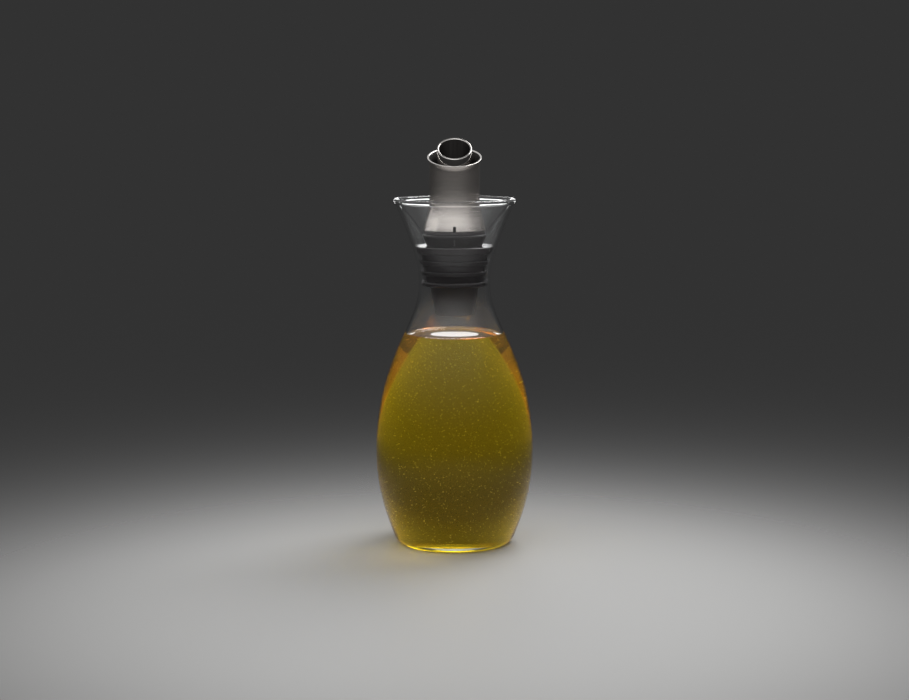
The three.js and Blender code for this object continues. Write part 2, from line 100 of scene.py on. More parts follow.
class Shader:
    """The nodes of a finish or of the room, emptied and then filled in."""

    def __init__(self, owner):
        owner.use_nodes = True
        self.owner = owner
        self.tree = owner.node_tree
        self.tree.nodes.clear()

    def node(self, kind, settings=None, sockets=None, output=0):
        """Adds a node: its settings first, then the values or links of its sockets."""
        node = self.tree.nodes.new(kind)
        for name, value in (settings or {}).items():
            if name == "stops":
                self.set_stops(node.color_ramp, value)
            else:
                setattr(node, name, value)
        for name, value in (sockets or {}).items():
            if isinstance(value, Wire):
                self.tree.links.new(value.socket, node.inputs[name])
            else:
                node.inputs[name].default_value = value
        return Wire(self, node.outputs[output]) if node.outputs else None

    def set_stops(self, ramp, stops):
        while len(ramp.elements) < len(stops):
            ramp.elements.new(1)
        for element, (place, colour) in zip(ramp.elements, stops):
            element.position = place
            element.color = colour

    def place(self, stretch=(1, 1, 1)):
        """Object coordinates, with each axis multiplied."""
        here = self.node("ShaderNodeTexCoord", output="Object")
        return self.node("ShaderNodeMapping", None, {"Vector": here, "Scale": stretch})

    def noise(self, scale, detail, stretch=(1, 1, 1)):
        sockets = {"Vector": self.place(stretch), "Scale": scale, "Detail": detail}
        return self.node("ShaderNodeTexNoise", None, sockets)

    def ramp(self, value, low, high):
        """0 below low, 1 above high and a smooth rise between them."""
        sockets = {"Value": value, "From Min": low, "From Max": high}
        return self.node("ShaderNodeMapRange", {"interpolation_type": "SMOOTHSTEP"}, sockets)

    def mix(self, share, first, second):
        """A blend of two colours. Sockets 0, 6 and 7 and output 2 are the ones for colours."""
        return self.node("ShaderNodeMix", {"data_type": "RGBA"}, {0: share, 6: first, 7: second}, output=2)

    def bump(self, height, distance, strength):
        sockets = {"Height": height, "Distance": distance, "Strength": strength}
        return self.node("ShaderNodeBump", None, sockets)

    def surface(self, sockets, volume=None):
        ends = {"Surface": self.node("ShaderNodeBsdfPrincipled", None, sockets)}
        if volume:
            ends["Volume"] = volume
        self.node("ShaderNodeOutputMaterial", None, ends)
        return self.owner


def finish(name):
    return Shader(bpy.data.materials.new(name))


def soft_box(name, place, aim, width, height, watts):
    """A flat soft lamp that faces a point and isn't seen itself."""
    bpy.ops.object.light_add(type="AREA", location=place)
    lamp = bpy.context.object
    lamp.name = name
    lamp.data.shape = "ELLIPSE"
    lamp.data.size = width
    lamp.data.size_y = height
    lamp.data.energy = watts
    lamp.rotation_euler = (Vector(aim) - Vector(place)).to_track_quat("-Z", "Y").to_euler()
    lamp.visible_camera = False


bpy.ops.object.camera_add(
    location=(0, -CAMERA_BACK, CAMERA_UP),
    rotation=(math.pi / 2 - CAMERA_DIP, 0, 0),
)
camera = bpy.context.object
camera.data.lens = LENS_MM
camera.data.sensor_width = SENSOR_MM
bpy.context.scene.camera = camera
bpy.context.scene.view_settings.view_transform = "Standard"
bpy.context.scene.cycles.max_bounces = GLASS_BOUNCES
bpy.context.scene.cycles.transmission_bounces = GLASS_BOUNCES

room = Shader(bpy.data.worlds.new("grey_room"))
bpy.context.scene.world = room.owner
direction = room.node("ShaderNodeTexCoord", output="Generated")
upward = room.node("ShaderNodeSeparateXYZ", None, {"Vector": direction}, output="Z")
dome_height = upward * 0.5 + 0.5
dome_stops = [(height, (level, level, level, 1)) for height, level in DOME_LEVELS.items()]
dome = room.node("ShaderNodeValToRGB", {"stops": dome_stops}, {"Fac": dome_height})
frontward = room.node(
    "ShaderNodeVectorMath", {"operation": "DOT_PRODUCT"}, {0: direction, 1: DOME_FRONT}, output="Value"
)
share = DOME_BACK_SHARE + (DOME_FRONT_SHARE - DOME_BACK_SHARE) * room.ramp(frontward, *DOME_TURN)
room_light = room.node("ShaderNodeBackground", None, {"Color": WHITE, "Strength": ROOM_LIGHT + share * dome})
room.node("ShaderNodeOutputWorld", None, {"Surface": room_light})

soft_box("back_soft_box", place=(0.45, 0.55, 1.0), aim=(0, 0, 0.06), width=0.75, height=0.75, watts=10)
soft_box("top_soft_box", place=(-0.1, -0.15, 1.15), aim=(0, 0, 0.12), width=0.5, height=0.5, watts=1.5)
soft_box("rear_strip", place=(0, 0.5, 0.192), aim=(0, 0, 0.17), width=0.24, height=0.05, watts=0.13)
soft_box("oil_strip", place=(0, 0.5, 0.159), aim=(0, 0, 0.15), width=0.06, height=0.008, watts=0.002)

bpy.ops.object.select_all(action="DESELECT")
bpy.ops.mesh.primitive_circle_add(vertices=TABLE_SIDES, radius=TABLE_R, fill_type="NGON")
table = bpy.context.object
table.name = "table_top"
table_finish = finish("pale_table")
from_pool = table_finish.node(
    "ShaderNodeVectorMath", {"operation": "ADD"}, {0: table_finish.place(), 1: (0, TABLE_POOL_FORWARD, 0)}
)
pool_reach = table_finish.node(
    "ShaderNodeVectorMath", {"operation": "LENGTH"}, {0: from_pool}, output="Value"
)
table_fall = table_finish.node("ShaderNodeMath", {"operation": "POWER"}, {
    0: pool_reach * (1 / TABLE_POOL_R),
    1: TABLE_FADE,
})
table_share = table_finish.node("ShaderNodeMath", {"operation": "DIVIDE"}, {0: 1, 1: 1 + table_fall})
table_plain = table_finish.node("ShaderNodeBsdfPrincipled", None, {
    "Base Color": TABLE_COLOUR,
    "Roughness": TABLE_ROUGHNESS,
    "Specular IOR Level": TABLE_SHEEN,
})
table_finish.node("ShaderNodeOutputMaterial", None, {
    "Surface": table_finish.node("ShaderNodeMixShader", None, {
        0: table_share,
        1: table_finish.node("ShaderNodeBsdfTransparent"),
        2: table_plain,
    }),
})
table.data.materials.append(table_finish.owner)


# Glass bottle: one blown shell of clear glass, thick in the base and thin at the neck, its flared mouth
# ended by a fire-polished bead. Where oil wets the inside, it bends light as glass does against oil, and the
# belly mirrors the pale table less than the mouth does.
FOOT_R = 0.0227
FOOT_RING_W = 0.0065
PUSH_UP_H = 0.0006
PUSH_UP_RUN = 0.003
HEEL_REACH = 0.0048
HEEL_H = 0.0038
HEEL_SLOPE = 0.38
BELLY_Z = 0.041
NECK_R = 0.016
NECK_Z = 0.116
FLARE_SLOPE = 0.42
BEAD_R = 0.00135
BEAD_OVERHANG = 0.001
MOUTH_R = 0.0263
HEEL_UP, BELLY_DOWN, BELLY_UP, NECK_DOWN, NECK_UP, MOUTH_DOWN = 0.19, 0.47, 0.56, 0.23, 0.22, 0.69
BODY_WALL = 0.002
NECK_WALL = 0.0011
MOUTH_WALL = 0.00115
BASE_T = 0.0022
BEAD_START, BEAD_END = -45, 210
HEEL_STEPS, SIDE_STEPS, SHOULDER_STEPS, FLARE_STEPS = 12, 28, 44, 28
PUSH_UP_STEPS = 8
BEAD_STEPS = 20
BOTTLE_SIDES = 240
WELD = 1e-6
FACING_UP = 0.5
WET_SLOT, BELLY_SLOT = 1, 2
OIL_LEVEL = 0.0942
OIL_CREEP = 0.0008
GLASS_IOR = 1.5
OIL_IOR = 1.47
GLASS_TINT = (0.985, 0.99, 0.992, 1)
MOUTH_GLARE = (0.6, 0.6, 0.6, 1)
BELLY_GLARE = (0.28, 0.28, 0.28, 1)
SMEAR_ROUGHNESS = 0.01


def reach(node):
    """A round node's outer radius, and the heights of its bottom and top."""
    low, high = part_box(node)
    return high.x, low.z, high.z


def bend(start, pull, end_pull, end, steps):
    """Points of a smooth curve after its start, drawn out towards the two pulls."""
    ends = [Vector((*point, 0)) for point in (start, pull, end_pull, end)]
    return [(point.x, point.y) for point in interpolate_bezier(*ends, steps + 1)[1:]]


def bend_round(start, corner, end, steps):
    """Points after the start of a curve that rounds off a corner."""
    near = [tuple(a + (c - a) * 2 / 3 for a, c in zip(point, corner)) for point in (start, end)]
    return bend(start, *near, end, steps)


def arc(middle, radius, start, end, steps):
    """Points of an arc between two angles in degrees."""
    turns = [math.radians(start + (end - start) * step / steps) for step in range(steps + 1)]
    return [(middle[0] + radius * math.cos(turn), middle[1] + radius * math.sin(turn)) for turn in turns]


def radius_at(outline, height):
    """Radius of a rising outline at a height."""
    for (r0, z0), (r1, z1) in zip(outline, outline[1:]):
        if z0 <= height <= z1 and z1 > z0:
            return r0 + (r1 - r0) * (height - z0) / (z1 - z0)
    return outline[-1][0]


def bottle_wall(foot_r, floor_z, heel_r, heel_z, belly_r, neck_r, mouth_r, mouth_z):
    """One wall of the bottle from the foot through the heel, belly and neck to the mouth."""
    side, shoulder, flare = BELLY_Z - heel_z, NECK_Z - BELLY_Z, mouth_z - NECK_Z
    foot, heel, belly = (foot_r, floor_z), (heel_r, heel_z), (belly_r, BELLY_Z)
    neck, mouth = (neck_r, NECK_Z), (mouth_r, mouth_z)
    heel_corner = (heel_r - HEEL_SLOPE * (heel_z - floor_z), floor_z)
    above_heel = (heel_r + HEEL_SLOPE * HEEL_UP * side, heel_z + HEEL_UP * side)
    below_belly = (belly_r, BELLY_Z - BELLY_DOWN * side)
    above_belly = (belly_r, BELLY_Z + BELLY_UP * shoulder)
    below_neck = (neck_r, NECK_Z - NECK_DOWN * shoulder)
    above_neck = (neck_r, NECK_Z + NECK_UP * flare)
    droop = MOUTH_DOWN * flare
    below_mouth = (mouth_r - FLARE_SLOPE * droop, mouth_z - droop)
    return [
        foot,
        *bend_round(foot, heel_corner, heel, HEEL_STEPS),
        *bend(heel, above_heel, below_belly, belly, SIDE_STEPS),
        *bend(belly, above_belly, below_neck, neck, SHOULDER_STEPS),
        *bend(neck, above_neck, below_mouth, mouth, FLARE_STEPS),
    ]


def turned(name, outline, sides):
    """Spins half an outline of radius and height about the axis into a closed piece."""
    bpy.ops.object.select_all(action="DESELECT")
    bpy.ops.mesh.primitive_circle_add(vertices=len(outline), radius=max(r for r, z in outline))
    piece = bpy.context.object
    piece.name = name
    for vertex, (r, z) in zip(piece.data.vertices, outline):
        vertex.co = (0, -r, z)
    bpy.ops.object.mode_set(mode="EDIT")
    bpy.ops.mesh.select_all(action="SELECT")
    bpy.ops.mesh.spin(steps=sides, angle=math.tau, center=(0, 0, 0), axis=(0, 0, 1))
    bpy.ops.mesh.select_all(action="SELECT")
    bpy.ops.mesh.remove_doubles(threshold=WELD)
    bpy.ops.mesh.delete_loose()
    bpy.ops.mesh.select_all(action="SELECT")
    bpy.ops.mesh.normals_make_consistent(inside=False)
    bpy.ops.object.mode_set(mode="OBJECT")
    return piece


def smooth(piece, sharp=35):
    """Shades a piece smooth, with edges sharper than an angle in degrees left crisp."""
    bpy.ops.object.select_all(action="DESELECT")
    piece.select_set(True)
    bpy.context.view_layer.objects.active = piece
    bpy.ops.object.shade_smooth_by_angle(angle=math.radians(sharp))


def outward(face):
    """How far a face looks away from the axis, below 0 where it looks towards it."""
    return face.normal.x * face.center.x + face.normal.y * face.center.y


def clear_glass(name, ior, glare):
    """Blown glass: a hardly uneven face and the faintest smears on it."""
    glass = finish(name)
    swell = glass.noise(scale=55, detail=1.0)
    smear = glass.ramp(glass.noise(scale=70, detail=4.0, stretch=(1, 1, 0.5)), low=0.55, high=0.8)
    return glass.surface({
        "Base Color": GLASS_TINT,
        "Roughness": SMEAR_ROUGHNESS * smear,
        "IOR": ior,
        "Transmission Weight": 1,
        "Specular Tint": glare,
        "Normal": glass.bump(swell, distance=0.00006, strength=0.5),
    })


belly_r, foot_z, rim_z = reach("glass_bottle")
rim_r = MOUTH_R + BEAD_OVERHANG
bead_middle = (rim_r - BEAD_R, rim_z - BEAD_R)
bead = arc(bead_middle, BEAD_R, BEAD_START, BEAD_END, BEAD_STEPS)
heel_r = FOOT_R + HEEL_REACH
inside_floor = PUSH_UP_H + BASE_T
foot_ring = FOOT_R - FOOT_RING_W
outer_wall = bottle_wall(FOOT_R, foot_z, heel_r, HEEL_H, belly_r, NECK_R, MOUTH_R, bead[0][1])
inner_wall = bottle_wall(
    FOOT_R - BODY_WALL,
    inside_floor,
    heel_r + HEEL_SLOPE * inside_floor - BODY_WALL,
    inside_floor + HEEL_H,
    belly_r - BODY_WALL,
    NECK_R - NECK_WALL,
    MOUTH_R - MOUTH_WALL,
    bead[-1][1],
)
push_up_edge = (foot_ring - PUSH_UP_RUN, PUSH_UP_H)
push_up_foot = (foot_ring, foot_z)
push_up_bend = ((foot_ring - PUSH_UP_RUN / 2, PUSH_UP_H), (foot_ring - PUSH_UP_RUN / 2, foot_z))
glass_bottle = turned("blown_bottle", [
    (0, PUSH_UP_H),
    push_up_edge,
    *bend(push_up_edge, *push_up_bend, push_up_foot, PUSH_UP_STEPS),
    *outer_wall,
    *bead,
    *reversed(inner_wall),
    (0, inside_floor),
], BOTTLE_SIDES)
oil_edge_z = OIL_LEVEL + OIL_CREEP
bpy.ops.object.mode_set(mode="EDIT")
bpy.ops.mesh.select_all(action="SELECT")
bpy.ops.mesh.bisect(plane_co=(0, 0, oil_edge_z), plane_no=(0, 0, 1))
bpy.ops.object.mode_set(mode="OBJECT")
glass_bottle.data.materials.append(clear_glass("clear_glass", GLASS_IOR, MOUTH_GLARE))
glass_bottle.data.materials.append(clear_glass("oil_wet_glass", GLASS_IOR / OIL_IOR, MOUTH_GLARE))
glass_bottle.data.materials.append(clear_glass("belly_glass", GLASS_IOR, BELLY_GLARE))
for face in glass_bottle.data.polygons:
    on_floor = face.normal.z > FACING_UP and face.center.z < BELLY_Z
    if face.center.z < oil_edge_z:
        wet = on_floor or outward(face) < 0 and face.center.z > inside_floor
        face.material_index = WET_SLOT if wet else BELLY_SLOT
smooth(glass_bottle)
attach(glass_bottle, "bottle")
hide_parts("glass_bottle")


# Oil: what the bottle holds, a faintly cloudy olive-gold cooking oil that fills the belly and creeps up the
# glass at its edge. It lies just inside the glass. Its skin is a piece of its own, a thin film from wall to
# wall, because light bends there as it does between oil and air.
OIL_GAP = 0.00005
OIL_SKIN_T = 0.00003
OIL_CREEP_RUN = 0.0026
OIL_CREEP_CORNER = 0.25
OIL_CREEP_STEPS = 8
OIL_COLOUR = (0.973, 0.91, 0.06, 1)
OIL_DENSITY = 55
OIL_CLOUD = (1, 0.87, 0.12, 1)
OIL_CLEAR = 0.93
OIL_RIPPLE = 0.002
MATCHED_IOR = 1
SKIN_TOP_TURN = 0.2
UNDERSIDE_SLOT = 1


def olive_oil(name):
    """Oil against the wet glass: it bends no light there, and takes up blue and green on the way."""
    liquid = finish(name)
    swirl = liquid.noise(scale=30, detail=2.0)
    soaked = liquid.node("ShaderNodeVolumeAbsorption", None, {"Color": OIL_COLOUR, "Density": OIL_DENSITY})
    return liquid.surface({
        "Base Color": OIL_CLOUD,
        "Roughness": OIL_RIPPLE * swirl,
        "IOR": MATCHED_IOR,
        "Transmission Weight": OIL_CLEAR,
    }, soaked)


def oil_skin(name, ior):
    """One side of the skin, clear and hardly stirred."""
    skin = finish(name)
    swirl = skin.noise(scale=30, detail=2.0)
    return skin.surface({
        "Base Color": WHITE,
        "Roughness": OIL_RIPPLE * swirl,
        "IOR": ior,
        "Transmission Weight": 1,
    })


def drawn_in(outline, gap):
    """An outline that runs outwards and up, moved inwards by a gap."""
    moved = []
    for before, here, after in zip(outline, outline[1:], outline[2:]):
        along = Vector((after[0] - before[0], after[1] - before[1])).normalized()
        moved.append((here[0] - gap * along.y, here[1] + gap * along.x))
    return moved


def lowered(outline, drop):
    return [(r, z - drop) for r, z in outline]


oil_wall = drawn_in([(0, inside_floor), *inner_wall], OIL_GAP)
oil_edge = (radius_at(oil_wall, oil_edge_z), oil_edge_z)
oil_corner = (oil_edge[0] - OIL_CREEP_CORNER * OIL_CREEP_RUN, OIL_LEVEL)
oil_rest = (oil_edge[0] - OIL_CREEP_RUN, OIL_LEVEL)
oil_lid = [
    oil_edge,
    *bend_round(oil_edge, oil_corner, oil_rest, OIL_CREEP_STEPS),
    (0, OIL_LEVEL),
]
oil = turned("olive_oil", [
    (0, inside_floor + OIL_GAP),
    *[point for point in oil_wall if point[1] < oil_edge_z - 2 * OIL_GAP],
    *lowered(oil_lid, OIL_GAP),
], BOTTLE_SIDES)
oil.data.materials.append(olive_oil("olive_oil"))
smooth(oil)
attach(oil, "bottle")
skin = turned("oil_skin", [*oil_lid, *reversed(lowered(oil_lid, OIL_SKIN_T))], BOTTLE_SIDES)
skin.data.materials.append(oil_skin("oil_against_air", OIL_IOR))
skin.data.materials.append(oil_skin("oil_under_skin", MATCHED_IOR))
for face in skin.data.polygons:
    if face.normal.z < SKIN_TOP_TURN:
        face.material_index = UNDERSIDE_SLOT
smooth(skin)
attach(skin, "bottle")


# Bubbles: the finest beads of air, stirred in when the oil was poured and still rising through it.
# Each is a tiny bright ball, and all of them are one piece that stays in the oil.
BUBBLE_COUNT = 3200
BUBBLE_R = (0.00004, 0.00014)
BUBBLE_CLEAR = 0.0012
BUBBLE_CROWDING = 0.4
BUBBLE_SEED = 7
BUBBLE_DARK = (0.9, 0.8, 0.5, 1)
BUBBLE_LIGHT = (1, 0.95, 0.8, 1)
BUBBLE_ROUGHNESS, GLINT_ROUGHNESS = 0.25, 0.2

bubble_air = finish("air_in_oil")
glint = bubble_air.noise(scale=900, detail=1.0)
bubble_air.surface({
    "Base Color": bubble_air.mix(glint, BUBBLE_DARK, BUBBLE_LIGHT),
    "Metallic": 1,
    "Roughness": BUBBLE_ROUGHNESS + GLINT_ROUGHNESS * glint,
})
chance = random.Random(BUBBLE_SEED)
bpy.ops.object.select_all(action="DESELECT")
bpy.ops.mesh.primitive_ico_sphere_add(subdivisions=1, radius=1)
bubble = bpy.context.object
bubble.data.materials.append(bubble_air.owner)
copies = []
while len(copies) < BUBBLE_COUNT:
    height = chance.uniform(inside_floor + BUBBLE_CLEAR, OIL_LEVEL - BUBBLE_CLEAR)
    away = (radius_at(inner_wall, height) - BUBBLE_CLEAR) * chance.random() ** BUBBLE_CROWDING
    turn = chance.uniform(0, math.tau)
    size = chance.uniform(*BUBBLE_R)
    copy = bubble.copy()
    copy.data = bubble.data.copy()
    copy.location = (away * math.cos(turn), away * math.sin(turn), height)
    copy.scale = (size, size, size)
    bpy.context.collection.objects.link(copy)
    copies.append(copy)
bpy.data.objects.remove(bubble)
bubbles = copies[0]
bubbles.name = "oil_bubbles"
for copy in copies:
    copy.select_set(True)
bpy.context.view_layer.objects.active = bubbles
bpy.ops.object.join()
bpy.ops.object.transform_apply(location=True, rotation=True, scale=True)
smooth(bubbles, sharp=80)
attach(bubbles, "bottle")


# Stopper: one soft grey silicone moulding that grips the neck with three ribs under a flange. It is slipped
# over the valve body's core and held between the nose and the cup.
STOPPER_FIT = 0.00015
STOPPER_BORE = 0.0097
FLANGE_T = 0.0034
RIB_COUNT = 3
RIB_T = 0.0022
RIB_DEPTH = 0.0012
RIB_ROUND = 0.001
FLANGE_ROUND = 0.0008
CORNER_STEPS = 6
FITTING_SIDES = 128
SILICONE = (0.056, 0.049, 0.052)
CLOUD_DARK, CLOUD_LIGHT = 0.86, 1.14
PORE_ROUGHNESS = 0.12
MARK_POLISH = 0.1
MOULDED_SHEEN = 0.45


def tinted(colour, share):
    return (*[part * share for part in colour], 1)


def rounded(corners):
    """An outline of corners, each a radius, a height and how far along its edges it is rounded off."""
    outline = []
    for before, (r, z, cut), after in zip([corners[-1], *corners], corners, [*corners[1:], corners[0]]):
        here = Vector((r, z))
        if cut:
            start = here + (Vector(before[:2]) - here).normalized() * cut
            end = here + (Vector(after[:2]) - here).normalized() * cut
            outline += [tuple(start), *bend_round(tuple(start), (r, z), tuple(end), CORNER_STEPS)]
        else:
            outline.append((r, z))
    return outline


def moulded(name, colour, roughness, grain, depth):
    """A moulded finish: an even colour with faint clouds, handling marks and a fine grain."""
    skin = finish(name)
    clouds = skin.noise(scale=160, detail=4.0)
    pores = skin.noise(scale=grain, detail=2.0)
    marks = skin.ramp(skin.noise(scale=90, detail=5.0, stretch=(1, 1, 2)), low=0.45, high=0.75)
    return skin.surface({
        "Base Color": skin.mix(clouds, tinted(colour, CLOUD_DARK), tinted(colour, CLOUD_LIGHT)),
        "Roughness": roughness + PORE_ROUGHNESS * (pores - 0.5) - MARK_POLISH * marks,
        "Specular IOR Level": MOULDED_SHEEN,
        "Normal": skin.bump(pores, distance=depth, strength=0.6),
    })


def stopper_r(height):
    return radius_at(inner_wall, height) - STOPPER_FIT


_, stopper_low, stopper_top = reach("silicone_stopper")
flange_low = stopper_top - FLANGE_T
rib_pitch = (flange_low - stopper_low) / RIB_COUNT
stopper_corners = [(STOPPER_BORE, stopper_low, 0)]
for rib in range(RIB_COUNT):
    low = stopper_low + rib * rib_pitch
    high = low + RIB_T
    stopper_corners += [
        (stopper_r(low) - RIB_DEPTH, low, 0),
        (stopper_r(low), low, RIB_ROUND),
        (stopper_r(high), high, RIB_ROUND),
        (stopper_r(high) - RIB_DEPTH, high, 0),
    ]
stopper_corners += [
    (stopper_r(flange_low) - RIB_DEPTH, flange_low, 0),
    (stopper_r(flange_low), flange_low, RIB_ROUND),
    (stopper_r(stopper_top), stopper_top, FLANGE_ROUND),
    (STOPPER_BORE, stopper_top, 0),
]
stopper = turned("ribbed_stopper", rounded(stopper_corners), FITTING_SIDES)
grey_silicone = moulded("grey_silicone", SILICONE, roughness=0.26, grain=5200, depth=0.000008)
stopper.data.materials.append(grey_silicone)
smooth(stopper)
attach(stopper, "stopper")
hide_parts("silicone_stopper")


# Valve body: the rigid core of the stopper, one satin grey plastic moulding. Its tapered nose takes in the
# oil, its tube carries the silicone, and the cup on top has a floor with a port for each setting.
NOSE_TIP_R = 0.0084
NOSE_ROOT_R = 0.0109
NOSE_WALL = 0.0015
CORE_R = 0.0094
CORE_BORE = 0.0082
CUP_BORE = 0.0097
CUP_FLOOR_LIFT = 0.001
CUP_FLOOR_T = 0.002
BOSS_R = 0.0026
BOSS_H = 0.006
PIVOT_BORE = 0.00142
WINDOW_R = 0.0021
WINDOW_OFFSET = 0.00475
DRIZZLE_R = 0.0009
BREATHER_BORE = 0.0016
BREATHER_OFFSET = 0.0062
STOP_DEPTH = 0.0015
STOP_SPARE = math.radians(5)
EDGE_ROUND = 0.0003
CUT_PAST = 0.001
PIN_SIDES = 48
VALVE_PLASTIC = (0.074, 0.065, 0.064)


def pin(radius, low, high, x=0.0, y=0.0):
    """A round cutting shape that stands at a place."""
    bpy.ops.object.select_all(action="DESELECT")
    bpy.ops.mesh.primitive_cylinder_add(
        vertices=PIN_SIDES, radius=radius, depth=high - low, location=(x, y, (low + high) / 2)
    )
    return bpy.context.object


def block(low, high):
    """A square cutting shape between two corners."""
    middle = [(a + b) / 2 for a, b in zip(low, high)]
    size = [b - a for a, b in zip(low, high)]
    bpy.ops.object.select_all(action="DESELECT")
    bpy.ops.mesh.primitive_cube_add(size=1, location=middle, scale=size)
    return bpy.context.object


def shape(piece, tool, operation="DIFFERENCE"):
    """Cuts a shape out of a piece, or joins it on, and puts the shape away."""
    change = piece.modifiers.new("shape", "BOOLEAN")
    change.operation = operation
    change.solver = "EXACT"
    change.material_mode = "TRANSFER"
    change.object = tool
    bpy.context.view_layer.objects.active = piece
    bpy.ops.object.modifier_apply(modifier=change.name)
    bpy.data.objects.remove(tool)


def slice_of_pie(radius, low, high, start, end):
    """A wedge of a disc between two angles less than half a turn apart."""
    wedge = pin(radius, low, high)
    bpy.ops.object.mode_set(mode="EDIT")
    for angle, side in ((start, 1), (end, -1)):
        bpy.ops.mesh.select_all(action="SELECT")
        away = (side * math.sin(angle), -side * math.cos(angle), 0)
        bpy.ops.mesh.bisect(plane_co=(0, 0, low), plane_no=away, use_fill=True, clear_outer=True)
    bpy.ops.object.mode_set(mode="OBJECT")
    return wedge


cup_r, nose_tip, cup_top = reach("valve_body")
cup_floor = stopper_top + CUP_FLOOR_LIFT
floor_low = cup_floor - CUP_FLOOR_T
valve = turned("valve_core", rounded([
    (0, floor_low - BOSS_H, 0),
    (BOSS_R, floor_low - BOSS_H, EDGE_ROUND),
    (BOSS_R, floor_low, 0),
    (CORE_BORE, floor_low, 0),
    (CORE_BORE, stopper_low, 0),
    (NOSE_TIP_R - NOSE_WALL, nose_tip, EDGE_ROUND),
    (NOSE_TIP_R, nose_tip, EDGE_ROUND),
    (NOSE_ROOT_R, stopper_low, EDGE_ROUND),
    (CORE_R, stopper_low, 0),
    (CORE_R, stopper_top, 0),
    (cup_r, stopper_top, EDGE_ROUND),
    (cup_r, cup_top, EDGE_ROUND),
    (CUP_BORE, cup_top, EDGE_ROUND),
    (CUP_BORE, cup_floor, 0),
    (0, cup_floor, 0),
]), FITTING_SIDES)
grey_plastic = moulded("grey_plastic", VALVE_PLASTIC, roughness=0.4, grain=3600, depth=0.000012)
valve.data.materials.append(grey_plastic)
port_low, port_high = floor_low - CUT_PAST / 2, cup_floor + CUT_PAST / 2
shape(valve, pin(PIVOT_BORE, port_low - BOSS_H, port_high))
shape(valve, pin(DRIZZLE_R, port_low, port_high, 0, WINDOW_OFFSET))
shape(valve, pin(WINDOW_R, port_low, port_high, -WINDOW_OFFSET, 0))
shape(valve, pin(BREATHER_BORE, port_low, port_high, 0, -BREATHER_OFFSET))
shape(valve, pin(DRIZZLE_R, port_low, port_high, BREATHER_OFFSET, 0))
stop_start, stop_end = -math.pi / 2 - STOP_SPARE, STOP_SPARE
shape(valve, slice_of_pie(cup_r + CUT_PAST, cup_top - STOP_DEPTH, cup_top + CUT_PAST, stop_start, stop_end))
smooth(valve)
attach(valve, "stopper")
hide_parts("valve_body")


# Gasket and breather: a pale silicone disc that lies on the cup's floor and seals the ports, and a thin
# steel tube pressed into that floor, which lets air in. The solids have their true shape and stay.
GASKET_SILICONE = (0.46, 0.44, 0.42)
STEEL_DARK = (0.42, 0.4, 0.38, 1)
STEEL_LIGHT = (0.6, 0.575, 0.55, 1)
RING_ROUGHNESS, STAIN_ROUGHNESS = 0.14, 0.08


def plain_steel(name, roughness):
    """Turned steel: rings of fine tool marks round the axis, a little stained."""
    steel = finish(name)
    rings = steel.noise(scale=1, detail=2.0, stretch=(90, 90, 6500))
    stain = steel.noise(scale=140, detail=4.0)
    return steel.surface({
        "Base Color": steel.mix(rings, STEEL_DARK, STEEL_LIGHT),
        "Metallic": 1,
        "Roughness": roughness + RING_ROUGHNESS * rings + STAIN_ROUGHNESS * stain,
        "Normal": steel.bump(rings, distance=0.00001, strength=0.3),
    })


def redress(node, material):
    """Gives a solid that stays its finish."""
    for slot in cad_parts[node].material_slots:
        slot.material = material


gasket_silicone = moulded("gasket_silicone", GASKET_SILICONE, roughness=0.55, grain=4200, depth=0.00002)
redress("valve_gasket", gasket_silicone)
redress("breather_tube", plain_steel("small_steel", roughness=0.2))


# Collar: a dark matt plastic ring, pressed on over the cup. It swells to a crest and steps back under the
# sleeve, and engraved marks filled with grey paint show the settings: one line to drizzle, two to pour.
COLLAR_BORE = 0.0116
COLLAR_FOOT_R = 0.0123
COLLAR_BAND_H = 0.0005
COLLAR_BAND_TUCK = 0.0003
COLLAR_STEP_H = 0.0003
COLLAR_CREST_H = 0.0007
COLLAR_ROUND = 0.00018
MARK_W = 0.0007
MARK_DEPTH = 0.00035
MARK_L = 0.003
MARK_PITCH = 0.0016
DARK_PLASTIC = (0.038, 0.034, 0.036)
MARK_PAINT = (0.1, 0.094, 0.095)

crest_r, collar_low, collar_top = reach("selector_collar")
skirt_r, sleeve_low, _ = reach("pourer_sleeve")
band_low = collar_top - COLLAR_BAND_H
band_r = skirt_r - COLLAR_BAND_TUCK
step_low = band_low - COLLAR_STEP_H
crest_low = step_low - COLLAR_CREST_H
dark_plastic = moulded("dark_plastic", DARK_PLASTIC, roughness=0.42, grain=3800, depth=0.000015)
mark_paint = moulded("mark_paint", MARK_PAINT, roughness=0.5, grain=3800, depth=0.00001)
collar = turned("selector_collar_ring", rounded([
    (COLLAR_BORE, collar_low, 0),
    (COLLAR_FOOT_R, collar_low, COLLAR_ROUND),
    (crest_r, crest_low, COLLAR_ROUND),
    (crest_r, step_low, COLLAR_ROUND),
    (band_r, band_low, 0),
    (band_r, collar_top, COLLAR_ROUND),
    (COLLAR_BORE, collar_top, COLLAR_ROUND),
]), FITTING_SIDES)
collar.data.materials.append(dark_plastic)
mark_lean = math.atan2(crest_r - COLLAR_FOOT_R, crest_low - collar_low)
mark_r = (crest_r + COLLAR_FOOT_R) / 2
for turn, aside in ((0, 0), (math.pi / 2, -MARK_PITCH / 2), (math.pi / 2, MARK_PITCH / 2)):
    bpy.ops.object.select_all(action="DESELECT")
    bpy.ops.mesh.primitive_cube_add(
        size=1,
        location=(
            aside * math.cos(turn) + mark_r * math.sin(turn),
            aside * math.sin(turn) - mark_r * math.cos(turn),
            (collar_low + crest_low) / 2,
        ),
        rotation=(mark_lean, 0, turn),
        scale=(MARK_W, 2 * MARK_DEPTH, MARK_L),
    )
    mark = bpy.context.object
    mark.data.materials.append(mark_paint)
    shape(collar, mark)
smooth(collar)
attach(collar, "stopper")
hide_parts("selector_collar")


